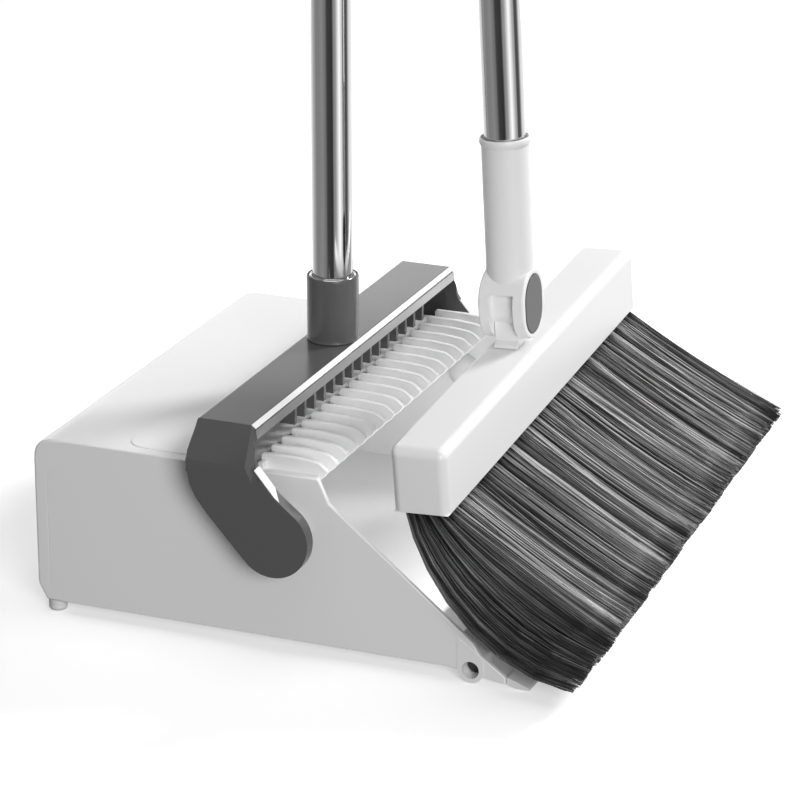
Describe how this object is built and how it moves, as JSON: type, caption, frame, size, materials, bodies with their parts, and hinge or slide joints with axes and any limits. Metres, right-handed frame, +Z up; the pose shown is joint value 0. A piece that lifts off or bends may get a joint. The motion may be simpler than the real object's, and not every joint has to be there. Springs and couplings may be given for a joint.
{
  "type": "dust pan and brush set",
  "caption": "Upright deep dust pan with a toothed comb and a pivoting yoke handle, and a long-handled swivel-head brush clipped to that handle.",
  "frame": {"origin": "on the floor, under the middle of the whole set's box", "axes": "+Z up; the pan's mouth and the brush face -Y; the pan's width runs along X"},
  "size_m": [0.3122, 0.3294, 0.9043],
  "materials": {
    "white_plastic": "glossy moulded",
    "pale_plastic": "glossy moulded",
    "soft_white": "satin soft",
    "grey_plastic": "semi-gloss moulded",
    "dark_plastic": "matt",
    "chrome_tube": "polished",
    "steel": "plain",
    "bristle_fibre": "dark synthetic bristle"
  },
  "bodies": {
    "pan": {"pan_shell": "white_plastic", "comb_strip": "pale_plastic", "mouth_lip": "soft_white", "rear_foot_left": "soft_white", "rear_foot_right": "soft_white"},
    "pan_handle": {"yoke": "grey_plastic", "pole_socket": "grey_plastic", "pole_plug": "dark_plastic", "pole_screw": "steel", "pivot_washer_left": "steel", "pivot_washer_right": "steel", "pivot_screw_left": "steel", "pivot_screw_right": "steel", "pan_tube_lower": "chrome_tube", "pan_tube_middle": "chrome_tube", "pan_tube_upper": "chrome_tube", "pan_spigot_1": "dark_plastic", "pan_spigot_2": "dark_plastic", "pan_collar_1": "grey_plastic", "pan_collar_2": "grey_plastic", "brush_clip": "grey_plastic", "pan_grip": "grey_plastic", "pan_hang_cap": "white_plastic"},
    "brush_handle": {"brush_socket": "white_plastic", "swivel_pin": "steel", "swivel_cap_front": "grey_plastic", "swivel_cap_back": "grey_plastic", "brush_tube_lower": "chrome_tube", "brush_tube_middle": "chrome_tube", "brush_tube_upper": "chrome_tube", "brush_spigot_1": "dark_plastic", "brush_spigot_2": "dark_plastic", "brush_collar_1": "grey_plastic", "brush_collar_2": "grey_plastic", "brush_grip": "grey_plastic", "brush_hang_cap": "white_plastic"},
    "brush_head": {"swivel_tongue": "pale_plastic", "tongue_screw": "steel", "brush_block": "white_plastic", "tuft_plate": "white_plastic", "bristles_1": "bristle_fibre", "bristles_2": "bristle_fibre", "bristles_3": "bristle_fibre", "bristles_4": "bristle_fibre"}
  },
  "joints": [
    {"name": "yoke_tilt", "type": "hinge", "parent": "pan", "child": "pan_handle", "pos_m": [-0.00684, 0.01974, 0.069], "axis": [1, 0, 0], "range_deg": [0, 25], "deforming": ["bristles_1", "bristles_2", "bristles_3", "bristles_4"]},
    {"name": "brush_out", "type": "slide", "parent": "pan_handle", "child": "brush_handle", "axis": [0, -1, 0], "range_m": [0, 0.25]},
    {"name": "head_swivel", "type": "hinge", "parent": "brush_handle", "child": "brush_head", "pos_m": [-0.00684, -0.05476, 0.161], "axis": [0, 0.9987, -0.0518], "range_deg": [-19, 26]}
  ]
}
